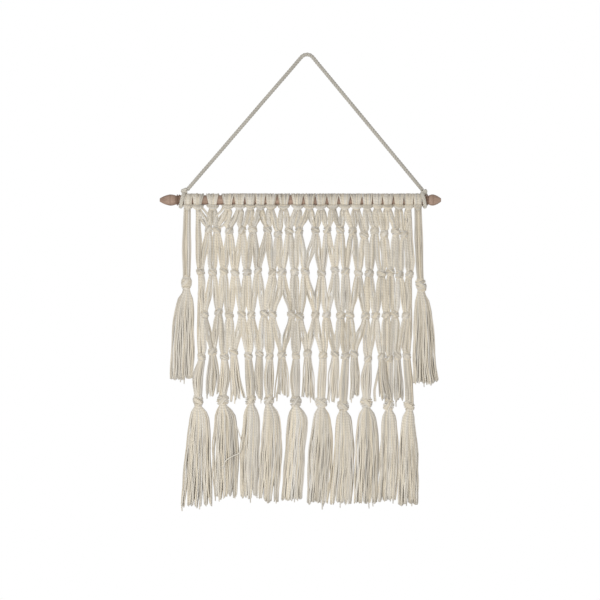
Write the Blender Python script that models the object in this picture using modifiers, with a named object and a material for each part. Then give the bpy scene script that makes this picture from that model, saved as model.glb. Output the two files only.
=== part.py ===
"""A macrame wall hanging on a turned wooden dowel.

Bundles of cotton yarn are larks-headed over the dowel, knotted into an open net of four rows, and ended in
small, big and side tassels. A twisted cord tied on at both ends of the dowel hangs it from one nail.

X runs along the dowel, Y points back to the wall and Z up. The origin is where the cord rests on its nail.
Sizes in the tables below are in millimetres.
"""

import math
from collections import namedtuple

import bmesh
import bpy
from mathutils import Matrix, Vector

MM = 0.001
GAP = 0.3  # kept between pieces that touch
COLLECTION = "macrame_wall_hanging"
MERGE = 0.00001  # corners this close, in metres, become one

# Finishes: a colour and a roughness
WOOD = ((0.43, 0.27, 0.18), 0.55)
YARN = ((0.72, 0.66, 0.56), 0.95)
ROPE = ((0.60, 0.57, 0.50), 0.90)

# Dowel
DOWEL_Z = -215.3
DOWEL_LEFT = -220.8
DOWEL_RIGHT = 201.0
SHAFT_RADIUS = 7.3
LEFT_FINIAL = 31.0
RIGHT_FINIAL = 24.0
DOWEL_STEPS = 20

TurnedPoint = namedtuple("TurnedPoint", "share radius")
FINIAL = (  # from the tip inwards, as a share of the finial's length
    TurnedPoint(0.00, 2.7),
    TurnedPoint(0.12, 4.6),
    TurnedPoint(0.32, 7.2),
    TurnedPoint(0.53, 8.5),
    TurnedPoint(0.80, 6.6),
    TurnedPoint(0.86, 7.9),
    TurnedPoint(0.90, 6.5),
    TurnedPoint(0.95, 7.8),
    TurnedPoint(1.00, 7.3),
)

# Hanging cord
CORD_DIAMETER = 6.0
CORD_STEP = 18.0
CORD_BEND_STEP = 2.5
HITCH_RADIUS = 2.5
HITCH_STEPS = 14
HITCH_SIDES = 6
HITCH_KNOT_SIDES = 10
HITCH_KNOT_RINGS = 6

RoutePoint = namedtuple("RoutePoint", "x z")
CORD_ROUTE = (
    RoutePoint(-179.3, -199.6),
    RoutePoint(-166.3, -184.4),
    RoutePoint(-146.7, -161.7),
    RoutePoint(-127.1, -139.0),
    RoutePoint(-107.6, -116.2),
    RoutePoint(-88.0, -93.5),
    RoutePoint(-68.5, -70.7),
    RoutePoint(-48.9, -48.0),
    RoutePoint(-29.3, -25.3),
    RoutePoint(-16.3, -10.1),
    RoutePoint(-8.3, -0.8),
    RoutePoint(-4.6, 2.0),
    RoutePoint(0.0, 3.0),
    RoutePoint(4.6, 2.0),
    RoutePoint(8.5, -1.0),
    RoutePoint(16.1, -10.3),
    RoutePoint(28.9, -25.7),
    RoutePoint(48.0, -48.8),
    RoutePoint(67.1, -71.9),
    RoutePoint(86.2, -95.0),
    RoutePoint(105.3, -118.2),
    RoutePoint(124.4, -141.3),
    RoutePoint(143.5, -164.4),
    RoutePoint(160.1, -184.5),
    RoutePoint(173.2, -200.3),
)
BEND_REACH = 16.5  # the route's points this close to the nail lie on its bend

Hitch = namedtuple("Hitch", "side ring_x knot_x knot_z knot_across knot_deep knot_high")
HITCHES = (
    Hitch("left", -187.3, -184.2, -201.3, 4.2, 4.6, 3.4),
    Hitch("right", 174.9, 175.5, -203.5, 3.5, 4.0, 3.0),
)

# Lark's head knots
WRAP_INNER = SHAFT_RADIUS + GAP
WRAP_OUTER = 9.9
WRAP_CORNER = 1.0  # each of its two outer edges lies this far in from the one below it
WRAP_STEPS = 12
MOST_WRAP_HALF = 8.8
PINCHED_HALF = 5.2
PINCH_SPREAD = 0.75  # below 1 it reaches further round the dowel
LOOP_BAR_PROUD = 5.2
LOOP_BAR_AT = math.radians(-64)  # down from straight ahead, where the loop crosses the front
LOOP_BAR_SPREAD = math.radians(36)
LEFT_HEAD_X = -179.5
RIGHT_HEAD_X = 165.9
OUTER_WRAP_LEFT = 5.0
OUTER_WRAP_RIGHT = 6.0

# Net
NET_Y = -2.0
NET_TOP = -229.2
YARN_GAP = 0.8  # between neighbouring bundles
KNOT_HALF = 6.2
KNOT_HIGH = 5.0  # from its middle to its top and to its bottom
KNOT_DEEP = 5.2
KNOT_CORE = 2.5
NECK_SHARE = 0.8  # a knot's top and bottom, as a share of its width
BUNDLE_HALF = 6.0
BUNDLE_DEEP = 3.2
PAIR_HALF = 7.2  # two bundles side by side, just below a knot and just above the next
PAIR_DEEP = 3.6
PAIR_SHARE = 0.18  # how far they run together, as a share of the row's height
SPLIT = 2.0
PASSED_HALF = 5.0  # the outer half of a knot that an edge bundle passes
EDGE_WIDTH = 5.4  # the least, of a bundle that runs straight down the net's edge
EDGE_OUT = 6.4  # from the line between the knots that it runs between, outwards
EDGE_IN = 4.4  # and inwards, where it is clear of the knot that it passes

Column = namedtuple("Column", "head_x row2_x row2_z row4_x row4_z")
COLUMNS = (
    Column(-164.6, -159.5, -323, -158.0, -451),
    Column(-141.5, -141.5, -324, -141.5, -442),
    Column(-118.5, -124.4, -322, -123.6, -451),
    Column(-100.8, -107.9, -324, -110.0, -444),
    Column(-84.8, -89.9, -323, -87.8, -449),
    Column(-70.2, -73.4, -321, -71.3, -446),
    Column(-54.9, -51.8, -324, -56.1, -450),
    Column(-35.0, -37.5, -323, -37.5, -447),
    Column(-14.4, -18.6, -323, -16.5, -450),
    Column(3.5, -2.6, -323, 1.0, -445),
    Column(21.0, 21.9, -325, 24.0, -448),
    Column(38.7, 42.0, -320, 42.0, -446),
    Column(56.3, 57.8, -322, 57.8, -449),
    Column(73.8, 77.1, -325, 70.7, -446),
    Column(91.1, 93.6, -325, 91.5, -454),
    Column(105.3, 111.6, -326, 112.6, -451),
    Column(120.0, 125.1, -323, 123.8, -453),
    Column(138.3, 138.8, -327, 135.2, -449),
    Column(152.9, 153.9, -327, 149.6, -449),
)
Between = namedtuple("Between", "row1_x row1_z row3_x row3_z")
BETWEENS = (
    Between(-147.9, -259, -153.8, -387),
    Between(-135.0, -260, -132.2, -383),
    Between(-116.4, -262, -116.4, -388),
    Between(-97.1, -261, -97.8, -386),
    Between(-81.3, -260, -83.4, -387),
    Between(-59.0, -260, -64.1, -386),
    Between(-43.2, -266, -51.8, -387),
    Between(-26.7, -262, -22.8, -387),
    Between(-12.0, -262, -11.1, -390),
    Between(12.6, -261, 12.6, -387),
    Between(30.5, -260, 29.7, -387),
    Between(49.8, -260, 50.6, -388),
    Between(68.6, -262, 64.2, -388),
    Between(85.7, -268, 87.9, -389),
    Between(101.6, -261, 102.9, -388),
    Between(115.8, -266, 119.4, -388),
    Between(133.1, -263, 131.7, -387),
    Between(146.0, -267, 148.8, -388),
)

# Tassels
TASSEL_SIDES = 8
SKIRT_DEEP = 8.4
SHOULDER_Z = -545.0
SKIRT_MIDDLE_Z = -591.0

BigTassel = namedtuple(
    "BigTassel",
    "stem_left stem_right knot_x knot_z top_left top_right mid_left mid_right end_left end_right end_z",
)
BIG_TASSELS = (
    BigTassel(-171.0, -156.0, -163.2, -516, -176, -146, -181, -144, -187, -142, -672),
    BigTassel(-130.4, -115.4, -125.9, -515, -138, -105, -141, -102, -140, -103, -662),
    BigTassel(-92.0, -79.5, -84.2, -515, -96, -71, -100, -72, -101, -75, -660),
    BigTassel(-65.0, -50.0, -56.9, -515, -66, -40, -70, -38, -73, -43, -664),
    BigTassel(-25.5, -10.5, -16.8, -517, -30, 1, -33, -3, -39, -7, -664),
    BigTassel(16.5, 28.5, 21.5, -519, 9, 35, 3, 38, 0, 32, -668),
    BigTassel(50.0, 61.5, 54.2, -524, 44, 67, 41, 70, 34, 67, -668),
    BigTassel(80.5, 97.0, 89.0, -519, 75, 104, 72, 108, 69, 105, -669),
    BigTassel(118.8, 127.6, 122.6, -523, 112, 134, 110, 136, 107, 134, -665),
    BigTassel(146.5, 157.5, 153.3, -524, 142, 161, 138, 166, 136, 167, -669),
)
STEM_DEEP = 4.2
BIG_KNOT_HALF = 7.6
BIG_KNOT_HIGH = 5.0
BIG_KNOT_DEEP = 6.2
BIG_KNOT_REACH = 9.5  # from its middle to where the yarns leave it
COLLAR_HALF = 5.4
COLLAR_DEEP = 5.0

SmallTassel = namedtuple("SmallTassel", "mid_left mid_right end_left end_right end_z")
SMALL_TASSELS = (
    SmallTassel(-150.5, -131.0, -153.5, -131.5, -507),
    SmallTassel(-114.8, -100.0, -114.8, -94.0, -512),
    SmallTassel(-78.8, -65.6, -75.6, -66.0, -512),
    SmallTassel(-46.0, -27.0, -48.5, -25.5, -509),
    SmallTassel(-6.8, 10.0, -8.6, 12.0, -512),
    SmallTassel(31.5, 48.2, 31.5, 47.0, -515),
    SmallTassel(65.0, 78.4, 64.5, 78.4, -512),
    SmallTassel(105.0, 117.0, 103.0, 116.6, -513),
    SmallTassel(129.6, 143.4, 130.0, 145.0, -516),
)
SMALL_DEEP = 4.6

StrandSection = namedtuple("StrandSection", "z left right deep")
LEFT_SIDE_TASSEL = (
    StrandSection(-229.5, -185.0, -175.0, 3.0),
    StrandSection(-280.0, -186.8, -174.6, 3.6),
    StrandSection(-324.0, -186.0, -175.0, 4.0),
    StrandSection(-332.0, -188.4, -173.8, 6.6),
    StrandSection(-346.0, -188.6, -173.2, 6.8),
    StrandSection(-353.0, -186.0, -175.4, 5.4),
    StrandSection(-366.0, -194.0, -171.0, 7.4),
    StrandSection(-407.0, -201.0, -169.6, 8.4),
    StrandSection(-464.0, -204.0, -169.6, 8.6),
    StrandSection(-483.0, -205.0, -171.0, 8.6),
)
RIGHT_SIDE_TASSEL = (
    StrandSection(-229.5, 161.4, 171.4, 3.0),
    StrandSection(-280.0, 161.6, 173.6, 3.6),
    StrandSection(-326.0, 164.4, 174.4, 4.0),
    StrandSection(-336.0, 163.6, 177.4, 6.6),
    StrandSection(-350.0, 164.0, 179.0, 6.8),
    StrandSection(-356.0, 165.2, 176.8, 5.4),
    StrandSection(-370.0, 162.2, 183.4, 7.4),
    StrandSection(-407.0, 160.6, 189.0, 8.4),
    StrandSection(-464.0, 159.6, 193.0, 8.6),
    StrandSection(-489.0, 158.8, 197.0, 8.6),
)


def clear_scene():
    for thing in list(bpy.data.objects):
        bpy.data.objects.remove(thing)


def new_collection(name):
    made = bpy.data.collections.new(name)
    bpy.context.scene.collection.children.link(made)
    return made


def new_material(name, colour, roughness):
    material = bpy.data.materials.new(name)
    material.use_nodes = True
    surface = material.node_tree.nodes["Principled BSDF"]
    surface.inputs["Base Color"].default_value = (*colour, 1)
    surface.inputs["Roughness"].default_value = roughness
    surface.inputs["Metallic"].default_value = 0
    return material


def add_object(name, data, finish, location=(0, 0, 0)):
    """Links an object, with its own material and its location in millimetres."""
    thing = bpy.data.objects.new(name, data)
    data.materials.append(new_material(name, *finish))
    thing.location = Vector(location) * MM
    parts.objects.link(thing)
    return thing


def mesh_of(bm, name, sharp_from=50):
    """Turns a bmesh in millimetres into a smooth-shaded mesh in metres, and frees it."""
    bmesh.ops.recalc_face_normals(bm, faces=bm.faces)
    bmesh.ops.scale(bm, vec=(MM, MM, MM), verts=bm.verts)
    mesh = bpy.data.meshes.new(name)
    bm.to_mesh(mesh)
    bm.free()
    mesh.shade_smooth()
    mesh.set_sharp_from_angle(angle=math.radians(sharp_from))
    return mesh


def loft(bm, rings, closed=False):
    """Bridges rings of as many vertices each, and caps the ends unless the last ring meets the first."""
    followers = rings[1:] + rings[:1] if closed else rings[1:]
    for upper, lower in zip(rings, followers):
        for i, corner in enumerate(upper):
            beside = (i + 1) % len(upper)
            bm.faces.new((corner, upper[beside], lower[beside], lower[i]))
    if not closed:
        bm.faces.new(rings[0])
        bm.faces.new(rings[-1])


# Dowel and hanging cord


def add_dowel():
    """Turned with its length along the local Z, which the object's rotation lays along X."""
    middle = (DOWEL_LEFT + DOWEL_RIGHT) / 2
    half = (DOWEL_RIGHT - DOWEL_LEFT) / 2
    profile = [(0.0, half)]
    profile += [(point.radius, half - point.share * RIGHT_FINIAL) for point in FINIAL]
    profile += [(point.radius, -half + point.share * LEFT_FINIAL) for point in reversed(FINIAL)]
    profile.append((0.0, -half))
    mesh = bpy.data.meshes.new("dowel")
    corners = [(radius * MM, 0, along * MM) for radius, along in profile]
    mesh.from_pydata(corners, [(i, i + 1) for i in range(len(corners) - 1)], [])
    dowel = add_object("dowel", mesh, WOOD, (middle, 0, DOWEL_Z))
    dowel.rotation_euler = (0, math.radians(90), 0)
    turn = dowel.modifiers.new("Turn", "SCREW")
    turn.steps = DOWEL_STEPS
    turn.render_steps = DOWEL_STEPS
    turn.use_merge_vertices = True
    turn.merge_threshold = MERGE


def smooth_route(route):
    """Points along a Catmull-Rom curve through the route, closer together on the bend over the nail."""
    points = [Vector((point.x, 0, point.z)) for point in route]
    ends = [2 * points[0] - points[1], *points, 2 * points[-1] - points[-2]]
    found = []
    for before, start, end, after in zip(ends, ends[1:], ends[2:], ends[3:]):
        in_bend = start.length < BEND_REACH and end.length < BEND_REACH
        count = max(1, round((end - start).length / (CORD_BEND_STEP if in_bend else CORD_STEP)))
        for i in range(count):
            t = i / count
            found.append(
                0.5
                * (
                    2 * start
                    + (end - before) * t
                    + (2 * before - 5 * start + 4 * end - after) * t**2
                    + (3 * start - before - 3 * end + after) * t**3
                )
            )
    return found + [points[-1]]


def add_hanging_cord():
    curve = bpy.data.curves.new("hanging_cord", "CURVE")
    curve.dimensions = "3D"
    curve.bevel_depth = CORD_DIAMETER / 2 * MM
    curve.bevel_resolution = 2
    curve.use_fill_caps = True
    path = smooth_route(CORD_ROUTE)
    spline = curve.splines.new("POLY")
    spline.points.add(len(path) - 1)
    for point, place in zip(spline.points, path):
        point.co = (*(place * MM), 1)
    add_object("hanging_cord", curve, ROPE)


def add_hitch(hitch):
    """The cord's end: one turn round the dowel, and the knot that holds it on top."""
    ring = bmesh.new()
    reach = SHAFT_RADIUS + GAP + HITCH_RADIUS
    rings = []
    for step in range(HITCH_STEPS):
        turned = Matrix.Rotation(2 * math.pi * step / HITCH_STEPS, 4, "X")
        sides = [2 * math.pi * side / HITCH_SIDES for side in range(HITCH_SIDES)]
        section = [
            Vector((HITCH_RADIUS * math.cos(a), 0, reach + HITCH_RADIUS * math.sin(a))) for a in sides
        ]
        rings.append([ring.verts.new(turned @ corner) for corner in section])
    loft(ring, rings, closed=True)
    bmesh.ops.translate(ring, vec=(hitch.ring_x, 0, DOWEL_Z), verts=ring.verts)
    name = "cord_hitch_" + hitch.side
    tied = add_object(name, mesh_of(ring, name), ROPE)

    knot = bmesh.new()
    place = Matrix.Translation((hitch.knot_x, 0, hitch.knot_z))
    shape = Matrix.Diagonal((hitch.knot_across, hitch.knot_deep, hitch.knot_high, 1))
    bmesh.ops.create_uvsphere(
        knot, u_segments=HITCH_KNOT_SIDES, v_segments=HITCH_KNOT_RINGS, radius=1, matrix=place @ shape
    )
    ball = bpy.data.objects.new(name + "_knot", mesh_of(knot, name + "_knot"))
    ball.hide_render = True
    ball.display_type = "WIRE"
    cutters.objects.link(ball)
    join = tied.modifiers.new("Knot", "BOOLEAN")
    join.operation = "UNION"
    join.object = ball


# Lark's head knots


def pinch(angle):
    """How far a wrap is drawn in: none over the dowel's top, all of it at the loop in front and below."""
    away = abs((angle - LOOP_BAR_AT + math.pi) % (2 * math.pi) - math.pi)
    return 0.5 + 0.5 * math.cos(min(away * PINCH_SPREAD, math.pi))


def bar_rise(angle):
    away = abs((angle - LOOP_BAR_AT + math.pi) % (2 * math.pi) - math.pi)
    return LOOP_BAR_PROUD * max(0.0, 1 - (away / LOOP_BAR_SPREAD) ** 2)


def add_larks_head(number, x, left_half, right_half):
    """A wrap round the dowel, wide over the top, pinched and raised where its loop crosses the ends."""
    bm = bmesh.new()
    rings = []
    for step in range(WRAP_STEPS):
        angle = LOOP_BAR_AT + 2 * math.pi * step / WRAP_STEPS
        outward = Vector((0, -math.cos(angle), math.sin(angle)))
        drawn = pinch(angle)
        left = left_half + (min(left_half, PINCHED_HALF) - left_half) * drawn
        right = right_half + (min(right_half, PINCHED_HALF) - right_half) * drawn
        outer = WRAP_OUTER + bar_rise(angle)
        top_left, top_right = -left + WRAP_CORNER, right - WRAP_CORNER
        corners = ((-left, WRAP_INNER), (top_left, outer), (top_right, outer), (right, WRAP_INNER))
        rings.append([bm.verts.new(Vector((along, 0, 0)) + outward * out) for along, out in corners])
    loft(bm, rings, closed=True)
    name = f"larks_head_{number:02d}"
    add_object(name, mesh_of(bm, name), YARN, (x, 0, DOWEL_Z))


def add_larks_heads():
    places = [LEFT_HEAD_X, *(column.head_x for column in COLUMNS), RIGHT_HEAD_X]
    for i, x in enumerate(places):
        left_half = OUTER_WRAP_LEFT
        right_half = OUTER_WRAP_RIGHT
        if i > 0:
            left_half = min(MOST_WRAP_HALF, (x - places[i - 1] - GAP) / 2)
        if i < len(places) - 1:
            right_half = min(MOST_WRAP_HALF, (places[i + 1] - x - GAP) / 2)
        add_larks_head(i + 1, x, left_half, right_half)


# Net


class NetRow:
    """The front half of one row, open on the middle plane: its knots and the bundles that come down to them.

    A section is three vertices across a bundle: its left edge, the ridge in front of it and its right edge.
    """

    def __init__(self):
        self.bm = bmesh.new()

    def section(self, left, right, z, deep):
        ridge = ((left + right) / 2, -deep, z)
        return [self.bm.verts.new(corner) for corner in ((left, 0, z), ridge, (right, 0, z))]

    def join(self, upper, lower):
        for i in (0, 1):
            self.bm.faces.new((upper[i], lower[i], lower[i + 1], upper[i + 1]))

    def split(self, section, down):
        """The two half sections of a pair of bundles, which part at a new point on the middle plane."""
        left, ridge, right = section
        crotch = self.bm.verts.new((ridge.co.x, 0, ridge.co.z + down))
        return (left, ridge, crotch), (crotch, ridge, right)

    def pair_below(self, knot, reach):
        """Two bundles side by side under a knot, and the half section that each goes on from."""
        top = self.section(knot.left, knot.right, knot.bottom - GAP, PAIR_DEEP * NECK_SHARE)
        self.bm.faces.new(top)
        parting = self.section(knot.pair_left, knot.pair_right, knot.bottom - reach, PAIR_DEEP)
        self.join(top, parting)
        return self.split(parting, -SPLIT)

    def single_below(self, left, right, z):
        """One bundle's own capped top."""
        top = self.section(left, right, z, BUNDLE_DEEP * NECK_SHARE)
        self.bm.faces.new(top)
        return top

    def knot(self, knot, reach):
        """A knot, and above it the half sections of the pair that it gathers."""
        meeting = self.section(knot.pair_left, knot.pair_right, knot.top + reach, PAIR_DEEP)
        neck = self.section(knot.left, knot.right, knot.top, PAIR_DEEP)
        left = knot.x - knot.left_half
        right = knot.x + knot.right_half
        upper = self.section(left, right, knot.z + KNOT_CORE, KNOT_DEEP)
        lower = self.section(left, right, knot.z - KNOT_CORE, KNOT_DEEP)
        foot = self.section(knot.left, knot.right, knot.bottom, PAIR_DEEP)
        for above, below in ((meeting, neck), (neck, upper), (upper, lower), (lower, foot)):
            self.join(above, below)
        self.bm.faces.new(reversed(foot))
        return self.split(meeting, SPLIT)

    def bundles(self, tops, bottoms, edges):
        for top, bottom, (left, right) in zip(tops, bottoms, edges):
            belly = self.section(left, right, (top[1].co.z + bottom[1].co.z) / 2, BUNDLE_DEEP)
            self.join(top, belly)
            self.join(belly, bottom)

    def finish(self, name):
        """Mirrored to the back through the middle plane, on which its open edge lies."""
        mesh = mesh_of(self.bm, name)
        row = add_object(name, mesh, YARN, (0, NET_Y, 0))
        back = row.modifiers.new("Back", "MIRROR")
        back.use_axis = (False, True, False)
        back.merge_threshold = MERGE


class Knot:
    """One knot's place, with its edges kept clear of its neighbours' in the row."""

    def __init__(self, x, z, before, after):
        self.x = x
        self.z = z
        self.left_half = min(KNOT_HALF, (x - before - YARN_GAP) / 2)
        self.right_half = min(KNOT_HALF, (after - x - YARN_GAP) / 2)
        self.left = x - self.left_half * NECK_SHARE
        self.right = x + self.right_half * NECK_SHARE
        self.pair_left = x - min(PAIR_HALF, (x - before - YARN_GAP) / 2)
        self.pair_right = x + min(PAIR_HALF, (after - x - YARN_GAP) / 2)
        self.top = z + KNOT_HIGH
        self.bottom = z - KNOT_HIGH


def knots_of(places, outer_half=PAIR_HALF):
    """The knots of a row. The outermost two reach no further than outer_half to the sides."""
    far = 2 * outer_half + YARN_GAP
    xs = [places[0][0] - far, *(x for x, _ in places), places[-1][0] + far]
    return [Knot(x, z, xs[i], xs[i + 2]) for i, (x, z) in enumerate(places)]


def belly_edges(centres):
    """The left and right edges of neighbouring bundles at mid-height, none wider than a bundle is."""
    parted = [(a + b) / 2 for a, b in zip(centres, centres[1:])]
    lefts = [-math.inf, *(x + YARN_GAP / 2 for x in parted)]
    rights = [*(x - YARN_GAP / 2 for x in parted), math.inf]
    for x, left, right in zip(centres, lefts, rights):
        yield max(left, x - BUNDLE_HALF), min(right, x + BUNDLE_HALF)


def add_closing_row(name, uppers, lowers):
    """A row of knots set between those above. The outermost bundle at each side passes it by."""
    row = NetRow()
    reach = PAIR_SHARE * (uppers[0].bottom - lowers[0].top)
    tops = []
    for i, knot in enumerate(uppers):
        if i == 0:
            tops.append(row.single_below(knot.x + YARN_GAP / 2, knot.right, knot.bottom - GAP))
        elif i == len(uppers) - 1:
            tops.append(row.single_below(knot.left, knot.x - YARN_GAP / 2, knot.bottom - GAP))
        else:
            tops += row.pair_below(knot, reach)
    bottoms = []
    for knot in lowers:
        bottoms += row.knot(knot, reach)
    edges = bellies(tops, bottoms)
    edges[0] = (max(edges[0][0], (uppers[0].x + lowers[0].pair_left) / 2), edges[0][1])
    edges[-1] = (edges[-1][0], min(edges[-1][1], (uppers[-1].x + lowers[-1].pair_right) / 2))
    row.bundles(tops, bottoms, edges)
    row.finish(name)


def add_opening_row(name, uppers, lowers, edges):
    """A row with one knot more than the row above. Its outermost bundles come past it from two rows up."""
    row = NetRow()
    reach = PAIR_SHARE * (uppers[0].bottom - lowers[0].top)
    first, last = edges
    tops = [row.single_below(first.left, first.x - YARN_GAP / 2, first.bottom - GAP)]
    for knot in uppers:
        tops += row.pair_below(knot, reach)
    tops.append(row.single_below(last.x + YARN_GAP / 2, last.right, last.bottom - GAP))
    bottoms = []
    for knot in lowers:
        bottoms += row.knot(knot, reach)
    passed_left = uppers[0].pair_left - YARN_GAP
    passed_right = uppers[-1].pair_right + YARN_GAP
    left_line = (first.x + lowers[0].x) / 2
    right_line = (last.x + lowers[-1].x) / 2
    outer_left = min(passed_left - EDGE_WIDTH, left_line - EDGE_OUT)
    outer_right = max(passed_right + EDGE_WIDTH, right_line + EDGE_OUT)
    left_edge = (outer_left, min(passed_left, left_line + EDGE_IN))
    right_edge = (max(passed_right, right_line - EDGE_IN), outer_right)
    inner = bellies(tops[1:-1], bottoms[1:-1])
    row.bundles(tops, bottoms, [left_edge, *inner, right_edge])
    row.finish(name)


def bellies(tops, bottoms):
    """The left and right edges of each bundle at mid-height, clear of its neighbours."""

    def middle(section):
        return (section[0].co.x + section[2].co.x) / 2

    centres = [(middle(top) + middle(bottom)) / 2 for top, bottom in zip(tops, bottoms)]
    return list(belly_edges(centres))


def add_net():
    heads = knots_of([(column.head_x, NET_TOP + KNOT_HIGH) for column in COLUMNS])
    row1 = knots_of([(between.row1_x, between.row1_z) for between in BETWEENS], PASSED_HALF)
    row2 = knots_of([(column.row2_x, column.row2_z) for column in COLUMNS])
    row3 = knots_of([(between.row3_x, between.row3_z) for between in BETWEENS], PASSED_HALF)
    row4 = knots_of([(column.row4_x, column.row4_z) for column in COLUMNS])
    add_closing_row("net_row_1", heads, row1)
    add_opening_row("net_row_2", row1, row2, (heads[0], heads[-1]))
    add_closing_row("net_row_3", row2, row3)
    add_opening_row("net_row_4", row3, row4, (row2[0], row2[-1]))
    return row4


# Tassels


def add_tassel(name, sections):
    """A closed solid through ellipses stacked from the top down."""
    bm = bmesh.new()
    rings = []
    for section in sections:
        centre = (section.left + section.right) / 2
        half = (section.right - section.left) / 2
        ring = []
        for side in range(TASSEL_SIDES):
            angle = 2 * math.pi * side / TASSEL_SIDES
            corner = (centre + half * math.cos(angle), section.deep * math.sin(angle), section.z)
            ring.append(bm.verts.new(corner))
        rings.append(ring)
    loft(bm, rings)
    add_object(name, mesh_of(bm, name), YARN, (0, NET_Y, 0))


def around(z, x, half, deep):
    return StrandSection(z, x - half, x + half, deep)


def add_big_tassel(number, tassel, hung_from):
    """A stem of the net's own yarns, the big knot that binds the tassel, and its skirt."""
    top = hung_from.bottom - GAP
    neck = tassel.knot_z + BIG_KNOT_REACH
    knot_foot = tassel.knot_z - BIG_KNOT_REACH
    top_half = min(hung_from.left_half, hung_from.right_half) * NECK_SHARE
    sections = (
        around(top, hung_from.x, top_half, PAIR_DEEP),
        StrandSection((top + neck) / 2, tassel.stem_left, tassel.stem_right, STEM_DEEP),
        around(neck, tassel.knot_x, COLLAR_HALF * NECK_SHARE, STEM_DEEP),
        around(tassel.knot_z + BIG_KNOT_HIGH, tassel.knot_x, BIG_KNOT_HALF, BIG_KNOT_DEEP),
        around(tassel.knot_z - BIG_KNOT_HIGH, tassel.knot_x, BIG_KNOT_HALF, BIG_KNOT_DEEP),
        around(knot_foot, tassel.knot_x, COLLAR_HALF, COLLAR_DEEP),
        StrandSection(SHOULDER_Z, tassel.top_left, tassel.top_right, SKIRT_DEEP * NECK_SHARE),
        StrandSection(SKIRT_MIDDLE_Z, tassel.mid_left, tassel.mid_right, SKIRT_DEEP),
        StrandSection(tassel.end_z, tassel.end_left, tassel.end_right, SKIRT_DEEP),
    )
    add_tassel(f"big_tassel_{number:02d}", sections)


def add_small_tassel(number, tassel, hung_from):
    top = hung_from.bottom - GAP
    left = hung_from.x - hung_from.left_half * NECK_SHARE
    right = hung_from.x + hung_from.right_half * NECK_SHARE
    middle = (top + tassel.end_z) / 2
    sections = (
        StrandSection(top, left, right, PAIR_DEEP),
        StrandSection(middle, tassel.mid_left, tassel.mid_right, SMALL_DEEP),
        StrandSection(tassel.end_z, tassel.end_left, tassel.end_right, SMALL_DEEP),
    )
    add_tassel(f"small_tassel_{number}", sections)


def add_tassels(row4):
    """Every other knot of the last row goes on as a big tassel, and those between end in small ones."""
    for number, (tassel, knot) in enumerate(zip(BIG_TASSELS, row4[0::2]), 1):
        add_big_tassel(number, tassel, knot)
    for number, (tassel, knot) in enumerate(zip(SMALL_TASSELS, row4[1::2]), 1):
        add_small_tassel(number, tassel, knot)
    add_tassel("side_tassel_left", LEFT_SIDE_TASSEL)
    add_tassel("side_tassel_right", RIGHT_SIDE_TASSEL)


clear_scene()
parts = new_collection(COLLECTION)
cutters = new_collection("cutters")
add_dowel()
add_hanging_cord()
for end in HITCHES:
    add_hitch(end)
add_larks_heads()
last_row = add_net()
add_tassels(last_row)
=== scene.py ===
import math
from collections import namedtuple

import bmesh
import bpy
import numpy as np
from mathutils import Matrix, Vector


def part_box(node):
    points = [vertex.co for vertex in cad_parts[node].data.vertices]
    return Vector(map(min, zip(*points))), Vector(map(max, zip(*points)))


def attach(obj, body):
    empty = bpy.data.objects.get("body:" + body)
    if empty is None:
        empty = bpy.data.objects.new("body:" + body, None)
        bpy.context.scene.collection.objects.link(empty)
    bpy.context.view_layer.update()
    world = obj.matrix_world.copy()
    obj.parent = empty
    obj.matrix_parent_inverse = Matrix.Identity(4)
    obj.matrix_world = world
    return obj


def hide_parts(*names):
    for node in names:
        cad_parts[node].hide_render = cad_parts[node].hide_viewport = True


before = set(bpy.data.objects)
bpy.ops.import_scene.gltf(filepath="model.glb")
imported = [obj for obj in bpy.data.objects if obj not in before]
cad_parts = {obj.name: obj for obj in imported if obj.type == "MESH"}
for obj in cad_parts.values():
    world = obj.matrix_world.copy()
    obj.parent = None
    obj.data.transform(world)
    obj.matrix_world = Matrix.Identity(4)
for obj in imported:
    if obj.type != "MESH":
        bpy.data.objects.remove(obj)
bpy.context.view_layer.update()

# A macrame wall hanging: cotton yarns folded over a turned dowel in lark's heads, knotted into an open net
# of four rows and ended in small, big and side tassels. A twisted cord, tied on at both ends of the dowel,
# hangs it from a nail.
#
# X runs along the dowel, Y points back to the wall and Z up. The origin is where the cord rests on its
# nail. Sizes are in millimetres up to the point where a mesh is made, which is in metres.

MM = 0.001
MERGE = 0.00001

ALONG_X = np.array((1.0, 0.0, 0.0))
ALONG_Y = np.array((0.0, 1.0, 0.0))
ALONG_Z = np.array((0.0, 0.0, 1.0))

# Camera
VIEW_X = -10.5
VIEW_Z = -365.25
VIEW_AWAY = 3000.0
VIEW_WIDTH = 900.0
SENSOR = 36.0

# Yarn
YARN = 1.15  # radius
YARN_SIDES = 6
GAP = 0.3

# Seeds of the small differences between alike pieces
HEAD_SEED = 1000
NET_SEED = 2000
BIG_TASSEL_SEED = 3000
SMALL_TASSEL_SEED = 4000
SIDE_TASSEL_SEEDS = {"left": 5000, "right": 5001}

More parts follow.
